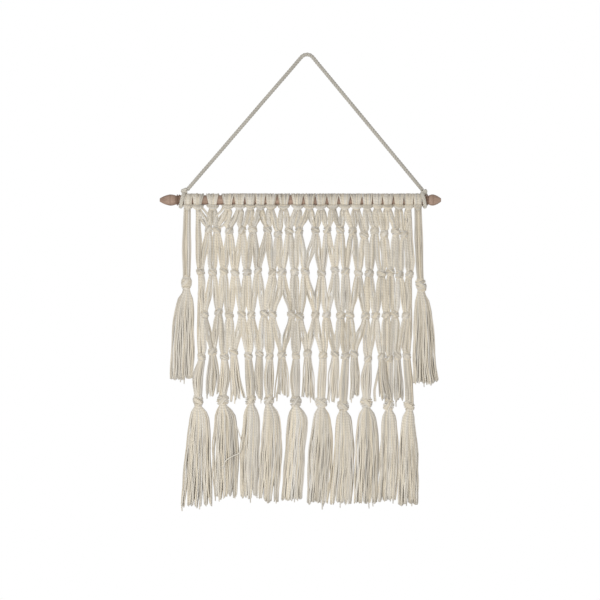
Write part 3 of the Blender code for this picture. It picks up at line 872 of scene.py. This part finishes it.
def lay_leg(yarns, leg, edges, chance, passing=False):
    """Yarns from one knot to the next: gathered at the knots, and side by side between them."""
    upper, lower = leg.upper, leg.lower
    run = upper.bottom - lower.top
    middle = (edges[0] + edges[1]) / 2
    half = max(1.6, (edges[1] - edges[0]) / 2 + 0.9 - YARN)
    start = quarter(upper, leg.from_side)
    if passing:
        middle = (upper.x + lower.x) / 2 + leg.from_side * PASSING_OUT
        half = PASSING_HALF
        start = (upper.x + middle) / 2
    end = quarter(lower, leg.to_side)
    inner = min(GATHERED_HALF, half)
    levels = (
        Level(upper.x + leg.from_side * 1.8, upper.z - 1, 1.4, 1.3),
        Level((upper.x + start) / 2 + leg.from_side * 0.6, upper.bottom, 2.0, 1.5),
        Level(start, upper.bottom - 0.16 * run, inner, 1.9),
        Level((start + middle) / 2, upper.bottom - 0.34 * run, (inner + half) / 2, 1.8),
        Level(middle, upper.bottom - 0.52 * run, half, 2.0),
        Level((end + middle) / 2, lower.top + 0.30 * run, (inner + half) / 2, 1.8),
        Level(end, lower.top + 0.15 * run, inner, 1.9),
        Level((lower.x + end) / 2 + leg.to_side * 0.6, lower.top, 2.0, 1.5),
        Level(lower.x + leg.to_side * 1.8, lower.z + 1, 1.4, 1.3),
    )
    back = NET_Y + (1.6 if passing else 0.0)
    bow = chance.normal(0, 0.5)
    for count, front in ((FRONT_YARNS, -1), (BACK_YARNS, 1)):
        shares = np.linspace(-1, 1, count) * (1 if front < 0 else 0.7)
        crossed = shares.copy()
        swap = chance.integers(0, count - 1)
        crossed[[swap, swap + 1]] = crossed[[swap + 1, swap]]
        for share, late in zip(shares, crossed):
            points = []
            for i, level in enumerate(levels):
                down = i / (len(levels) - 1)
                place = share + (late - share) * float(eased((down - 0.2) / 0.6))
                x = level.x + place * level.half + chance.normal(0, 0.22) + bow * math.sin(down * math.pi)
                y = back + front * level.deep * math.sqrt(1.05 - share**2) + chance.normal(0, 0.3)
                points.append((x, y, level.z))
            yarns.lay(smooth(points, 2), YARN * chance.uniform(0.9, 1.08), chance.uniform(0, 1))


def lay_pair(yarns, strand):
    """Two yarns side by side along the points of a strand."""
    for aside in (-1, 1):
        yarns.lay(smooth(strand, 4) + ALONG_X * aside * YARN * 0.8, YARN, 0.5 + 0.3 * aside)


TURN_STEPS = 22
TURNS_LEAN = (4, 26)  # degrees from level
TURNS_YAW = (-20, 20)
CROSSING_STEPS = 13
CROSSING_LEAN = (38, 58)
CROSSING_SPACING = 1.9
CROSSING_ACROSS = ALONG_Y + 0.3 * ALONG_Z


def tie_knot(yarns, x, z, half, deep, high, chance, taper):
    """An overhand knot: turns of yarn round the bundles, and the strands that cross over them in front."""
    hand = chance.choice((-1, 1))
    lean = math.radians(chance.uniform(*TURNS_LEAN)) * hand
    turn = np.linspace(0, 2 * np.pi, TURN_STEPS, endpoint=False)
    yaw = math.radians(chance.uniform(*TURNS_YAW))
    wraps = round((high - YARN) / YARN) + 1
    spacing = 2 * (high - YARN) / (wraps - 1)
    for row in range(wraps):
        rise = -(high - YARN) + row * spacing
        narrow = 1 - taper * abs(rise / high) ** 2.2
        width = (half - 0.7 * YARN) * narrow * chance.uniform(0.97, 1.03)
        depth = (deep - YARN) * narrow
        px = width * np.cos(turn + yaw)
        py = depth * np.sin(turn + yaw)
        arch = 0.9 * hand * np.cos(turn + yaw) ** 2
        pz = rise + arch * chance.uniform(0.2, 1.0)
        slant = lean + chance.normal(0, 0.05)
        qx = px * math.cos(slant) - pz * math.sin(slant)
        qz = px * math.sin(slant) + pz * math.cos(slant)
        path = np.stack([x + qx, NET_Y + py, z + qz], axis=1)
        yarns.lay(path, YARN * chance.uniform(1.0, 1.12), chance.uniform(0, 1), across=ALONG_Z, closed=True)
    steep = math.radians(chance.uniform(*CROSSING_LEAN)) * -hand
    sweep = np.linspace(-1, 1, CROSSING_STEPS)
    bulge = np.cos(sweep * np.pi / 2) ** 0.6
    for strand in (-1, 0, 1):
        reach = half * 0.98 - 0.5 * abs(strand)
        aside = strand * CROSSING_SPACING + 0.7 * np.sin(sweep * 1.6)
        qx = reach * sweep * math.cos(steep) - aside * math.sin(steep)
        qz = reach * sweep * math.sin(steep) + aside * math.cos(steep)
        py = -1.0 - (deep - 0.5) * bulge
        path = np.stack([x + qx, NET_Y + py, z + qz * min(1, high / half * 0.95)], axis=1)
        yarns.lay(path, YARN * chance.uniform(0.95, 1.08), chance.uniform(0, 1), across=CROSSING_ACROSS)


def knot_net(material):
    heads = []
    for i in range(len(COLUMNS)):
        heads.append((head_middle(i + 2), NET_TOP + KNOT_HIGH))
    heads = knots_of(heads)
    row1 = knots_of([(between.row1_x, between.row1_z) for between in BETWEENS], PASSED_HALF)
    row2 = knots_of([(column.row2_x, column.row2_z) for column in COLUMNS])
    row3 = knots_of([(between.row3_x, between.row3_z) for between in BETWEENS], PASSED_HALF)
    row4 = knots_of([(column.row4_x, column.row4_z) for column in COLUMNS])
    rows = (
        (row1, legs_closing(heads, row1)),
        (row2, legs_opening(row1, row2, (heads[0], heads[-1]))),
        (row3, legs_closing(row2, row3)),
        (row4, legs_opening(row3, row4, (row2[0], row2[-1]))),
    )
    for number, (knots, legs) in enumerate(rows, 1):
        chance = np.random.default_rng(NET_SEED + number)
        node = f"net_row_{number}"
        yarns = Yarns()
        for leg, edges in zip(legs, middle_edges(legs)):
            passing = leg.upper.z - leg.lower.z > PASSING_DROP
            lay_leg(yarns, leg, edges, chance, passing)
        if number == 1:
            for strand in LOOSE_STRANDS:
                lay_pair(yarns, strand)
        finished(f"net_yarns_{number}", yarns.mesh(f"net_yarns_{number}"), material, [node])
        yarns = Yarns()
        for knot in knots:
            half = (knot.left_half + knot.right_half) / 2
            x = knot.x + (knot.right_half - knot.left_half) / 2
            swell = chance.uniform(*KNOT_SWELL)
            size = (half * swell + 0.4, KNOT_DEEP * swell, KNOT_HIGH + 0.8)
            tie_knot(yarns, x, knot.z, *size, chance, KNOT_TAPER)
        finished(f"net_knots_{number}", yarns.mesh(f"net_knots_{number}"), material, [node])
    return row4


# Tassels

RING_SHARE = 0.47  # of a bundle's yarns lie on its outside
INSIDE_SHARE = 0.76  # of its width is left to the others
FLATNESS = 2.1
PARTED_FROM = 0.72  # the locks part below this share of a bundle's length
MOST_DROP = 14.0
STRAY_DROP = (4, 9)


def disc(count):
    """So many places spread evenly over a disc, from its middle outwards."""
    index = np.arange(count) + 0.5
    radius = np.sqrt(index / count)
    angle = index * math.pi * (3 - math.sqrt(5))
    return np.stack([radius * np.cos(angle), radius * np.sin(angle)], axis=1)


def bundled(count):
    """So many places in a disc that is to be flattened: a close ring of them, and the rest inside it."""
    outer = round(count * RING_SHARE)
    turn = np.linspace(0, 2 * np.pi, 181)
    steps = np.hypot(np.diff(np.cos(turn)) * FLATNESS, np.diff(np.sin(turn)))
    run = np.concatenate([[0], np.cumsum(steps)])
    even = np.interp(np.arange(outer) / outer * run[-1], run, turn)
    ring = np.stack([np.cos(even), np.sin(even)], axis=1)
    return np.vstack([ring, disc(count - outer) * INSIDE_SHARE])


def hang_yarns(
    yarns,
    sections,
    count,
    chance,
    ragged,
    wave=0.5,
    strays=0,
    steps=16,
    locks=1,
    parted=0.0,
    spread=1.06,
    out=0.0,
):
    """Yarns that fill the sections, given from the top down. They end unevenly, drawn together in locks."""
    table = smooth([(s.z, (s.left + s.right) / 2, (s.right - s.left) / 2, s.deep) for s in sections], 6)
    heights, centres, halves, deeps = table[::-1].T
    top, bottom = heights[-1], heights[0]
    spacing = 2 / locks
    lock_x = (np.arange(locks) + 0.5) * spacing - 1 + chance.normal(0, 0.22 * spacing, locks)
    lock_drop = chance.normal(0, ragged * 0.7, locks)
    lock_lean = chance.normal(0, 0.9 * parted, locks) * ragged
    longest = chance.permutation(count)[:strays]
    for i, place in enumerate(bundled(count) * chance.uniform(0.88, 1.0, (count, 1))):
        nearest = np.argmin(np.abs(lock_x - place[0]))
        off = abs(lock_x[nearest] - place[0]) / spacing
        drop = lock_drop[nearest] + ragged * (1.6 * off - 0.5) + chance.normal(0, ragged * 0.4)
        if i in longest:
            drop -= chance.uniform(*STRAY_DROP)
        end = bottom + np.clip(drop, -MOST_DROP, MOST_DROP)
        z = np.linspace(top, end, steps + 1)
        down = (top - z) / (top - bottom)
        near_end = np.clip((down - PARTED_FROM) / (1 - PARTED_FROM), 0, 1) ** 1.5
        inside = np.clip(z, bottom, top)
        half = np.maximum(np.interp(inside, heights, halves) - 0.5 * YARN, 0.5) * spread
        deep = np.maximum(np.interp(inside, heights, deeps) - YARN, 0.5)
        across = place[0] + (lock_x[nearest] - place[0]) * parted * near_end
        phase = chance.uniform(0, 6.3, 2)
        swing = wave * np.minimum(1, down * 2.5)
        sway = swing * np.sin(z / chance.uniform(7, 13) + phase[0])
        nod = swing * np.sin(z / chance.uniform(7, 13) + phase[1])
        x = np.interp(inside, heights, centres) + half * across + sway + lock_lean[nearest] * near_end
        y = NET_Y - out * np.minimum(1, down * 3) + deep * place[1] + 0.7 * nod
        radii = np.full(steps + 1, YARN * chance.uniform(0.9, 1.12))
        radii[-1] *= 0.75
        yarns.lay(np.stack([x, y, z], axis=1), radii, chance.uniform(0, 1))


def around(z, x, half, deep):
    """A section with its middle at x."""
    return StrandSection(z, x - half, x + half, deep)


def widening(tassel, foot, share, width):
    """A section that share of the way from the knot's foot to the shoulder, and of the shoulder's width."""
    left = tassel.knot_x - COLLAR_HALF
    right = tassel.knot_x + COLLAR_HALF
    return StrandSection(
        foot + (SHOULDER_Z - foot) * share,
        left + (tassel.top_left - left) * width,
        right + (tassel.top_right - right) * width,
        COLLAR_DEEP + (SKIRT_DEEP * 0.95 - COLLAR_DEEP) * width,
    )


def make_big_tassel(number, tassel, hung_from, material):
    chance = np.random.default_rng(BIG_TASSEL_SEED + number)
    yarns = Yarns()
    neck = tassel.knot_z + BIG_KNOT_REACH
    foot = tassel.knot_z - BIG_KNOT_REACH
    stem = (
        around(hung_from.z, hung_from.x, 3.6, 3.0),
        around(hung_from.bottom, hung_from.x, 4.8, 3.6),
        StrandSection((hung_from.bottom + neck) / 2, tassel.stem_left, tassel.stem_right, 4.2),
        around(neck, tassel.knot_x, 5.6, 4.2),
        around(tassel.knot_z, tassel.knot_x, 4.4, 4.0),
    )
    hang_yarns(yarns, stem, STEM_YARNS, chance, 0.5, wave=0.25, steps=12, spread=1.1)
    skirt = (
        around(tassel.knot_z, tassel.knot_x, 4.4, 4.0),
        around(foot, tassel.knot_x, COLLAR_HALF, COLLAR_DEEP),
        *(widening(tassel, foot, share, width) for share, width in SHOULDER),
        StrandSection(SHOULDER_Z, tassel.top_left, tassel.top_right, SKIRT_DEEP * 0.9),
        StrandSection(SKIRT_MIDDLE_Z, tassel.mid_left, tassel.mid_right, SKIRT_DEEP),
        StrandSection(tassel.end_z, tassel.end_left, tassel.end_right, SKIRT_DEEP),
    )
    locks = max(3, round((tassel.end_right - tassel.end_left) / LOCK_WIDTH))
    ends = TUFTED_ENDS if number <= TUFTED else EVEN_ENDS
    parted, ragged = ends.parted, ends.ragged
    hang_yarns(
        yarns, skirt, SKIRT_YARNS, chance, ragged, 0.6, strays=2, steps=18, locks=locks, parted=parted
    )
    size = (tassel.knot_half, BIG_KNOT_DEEP, BIG_KNOT_HIGH)
    tie_knot(yarns, tassel.knot_x, tassel.knot_z, *size, chance, TASSEL_KNOT_TAPER)
    if number == LOOSE_TASSEL:
        yarns.lay(smooth(LOOSE_YARN, 5), YARN * 0.9, 0.9)
    name = f"tassel_{number:02d}"
    return finished(name, yarns.mesh(name), material, [f"big_tassel_{number:02d}"])


def make_small_tassel(number, tassel, hung_from, material):
    chance = np.random.default_rng(SMALL_TASSEL_SEED + number)
    yarns = Yarns()
    middle = (hung_from.bottom + tassel.end_z) / 2
    sections = (
        around(hung_from.z, hung_from.x, 3.6, 3.0),
        around(hung_from.bottom, hung_from.x, 4.8, 3.4),
        StrandSection(middle, tassel.mid_left, tassel.mid_right, SMALL_DEEP),
        StrandSection(tassel.end_z, tassel.end_left, tassel.end_right, SMALL_DEEP),
    )
    out = FRONT_OUT if number == FRONT_TASSEL else 0.0
    locks = tassel.locks
    hang_yarns(
        yarns, sections, SMALL_YARNS, chance, 2.6, strays=1, steps=14, locks=locks, parted=0.4, out=out
    )
    if number == FRONT_TASSEL:
        lay_pair(yarns, FLUNG_STRAND)
    name = f"small_tassel_yarns_{number}"
    return finished(name, yarns.mesh(name), material, [f"small_tassel_{number}"])


def make_side_tassel(side, sections, knot, material):
    chance = np.random.default_rng(SIDE_TASSEL_SEEDS[side])
    yarns = Yarns()
    ragged = SIDE_RAGGED[side]
    strand, skirt = sections[: SIDE_KNOT_SECTION + 1], sections[SIDE_KNOT_SECTION:]
    hang_yarns(yarns, strand, SIDE_STRAND_YARNS, chance, 0.5, wave=0.3, steps=20)
    hang_yarns(yarns, skirt, SIDE_YARNS, chance, ragged, 0.55, strays=2, steps=18, locks=6, parted=0.22)
    size = (SIDE_KNOT_HALF, SIDE_KNOT_DEEP, SIDE_KNOT_HIGH)
    tie_knot(yarns, *knot, *size, chance, TASSEL_KNOT_TAPER)
    name = "side_tassel_yarns_" + side
    return finished(name, yarns.mesh(name), material, ["side_tassel_" + side])


# Studio

FLOOR_RADIUS = 1.45  # metres
FLOOR_HEIGHT = -1.1


def set_camera():
    data = bpy.data.cameras.new("camera")
    data.sensor_width = SENSOR
    data.lens = SENSOR * VIEW_AWAY / VIEW_WIDTH
    camera = bpy.data.objects.new("camera", data)
    camera.location = Vector((VIEW_X, -VIEW_AWAY, VIEW_Z)) * MM
    camera.rotation_euler = (math.radians(90), 0, 0)
    bpy.context.scene.collection.objects.link(camera)
    bpy.context.scene.camera = camera


def add_lamp(name, place, size, power):
    data = bpy.data.lights.new(name, "AREA")
    data.shape = "DISK"
    data.size = size
    data.energy = power
    lamp = bpy.data.objects.new(name, data)
    lamp.location = place
    towards = Vector((0, 0, VIEW_Z * MM)) - lamp.location
    lamp.rotation_euler = towards.to_track_quat("-Z", "Y").to_euler()
    bpy.context.scene.collection.objects.link(lamp)


def light_world(world):
    """A white backdrop to look at, and the light of one broad soft box on the camera's side."""
    direction = world.node("TexCoord", {}, {}, 0)
    _, depth, height = direction.separate()
    front = (0 - depth).above(-0.35, 0.95)
    lit = world.mix(front, (0.42, 0.42, 0.43), (0.80, 0.792, 0.777))
    lit = world.mix(height.above(0.1, 0.9), lit, (0.44, 0.44, 0.455))
    light = world.node("Background", {}, {"Color": lit, "Strength": 1.0})
    backdrop = world.node("Background", {}, {"Color": (1, 1, 1, 1), "Strength": 1.0})
    seen = world.node("LightPath", {}, {}, 0)
    both = world.node("MixShader", {}, {0: seen, 1: light, 2: backdrop})
    world.feed(world.nodes["World Output"], {"Surface": both})


def set_studio():
    scene = bpy.context.scene
    scene.view_settings.view_transform = "Standard"
    world = Finish(bpy.data.worlds.new("studio"))
    scene.world = world.owner
    light_world(world)
    add_lamp("key", (-1.5, -2.6, -0.1), 1.0, 12)
    add_lamp("fill", (-0.25, -0.95, -0.85), 0.7, 3.2)
    floor = bmesh.new()
    bmesh.ops.create_circle(floor, cap_ends=True, segments=96, radius=FLOOR_RADIUS)
    bmesh.ops.translate(floor, vec=(0, 0, FLOOR_HEIGHT), verts=floor.verts)
    mesh = bpy.data.meshes.new("floor")
    floor.to_mesh(mesh)
    floor.free()
    mesh.materials.append(plain("pale_floor", (0.86, 0.86, 0.85), 0.7))
    pale_floor = bpy.data.objects.new("floor", mesh)
    scene.collection.objects.link(pale_floor)


set_camera()
yarn = spun_cotton("cotton_yarn", YARN_COLOURS, pitch=0.008, depth=0.0003)
rope = spun_cotton("cotton_rope", ROPE_COLOURS, pitch=0.005, depth=0.0002)
# The cord's knots get the paler copy of its colours: painted light
lit_rope = spun_cotton("lit_copy_of_rope", LIT_ROPE_COLOURS, pitch=0.005, depth=0.0002)
wood = turned_wood("turned_wood")
knots = [tie_hitch(hitch, lit_rope) for hitch in HITCHES]
hang_cord(rope)
turn_dowel(wood)
for head in range(1, HEADS + 1):
    wrap_head(head, yarn)
last_row = knot_net(yarn)
for number, (tassel, knot) in enumerate(zip(BIG_TASSELS, last_row[0::2]), 1):
    make_big_tassel(number, tassel, knot, yarn)
for number, (tassel, knot) in enumerate(zip(SMALL_TASSELS, last_row[1::2]), 1):
    make_small_tassel(number, tassel, knot, yarn)
make_side_tassel("left", LEFT_SIDE_TASSEL, LEFT_SIDE_KNOT, yarn)
make_side_tassel("right", RIGHT_SIDE_TASSEL, RIGHT_SIDE_KNOT, yarn)
set_studio()
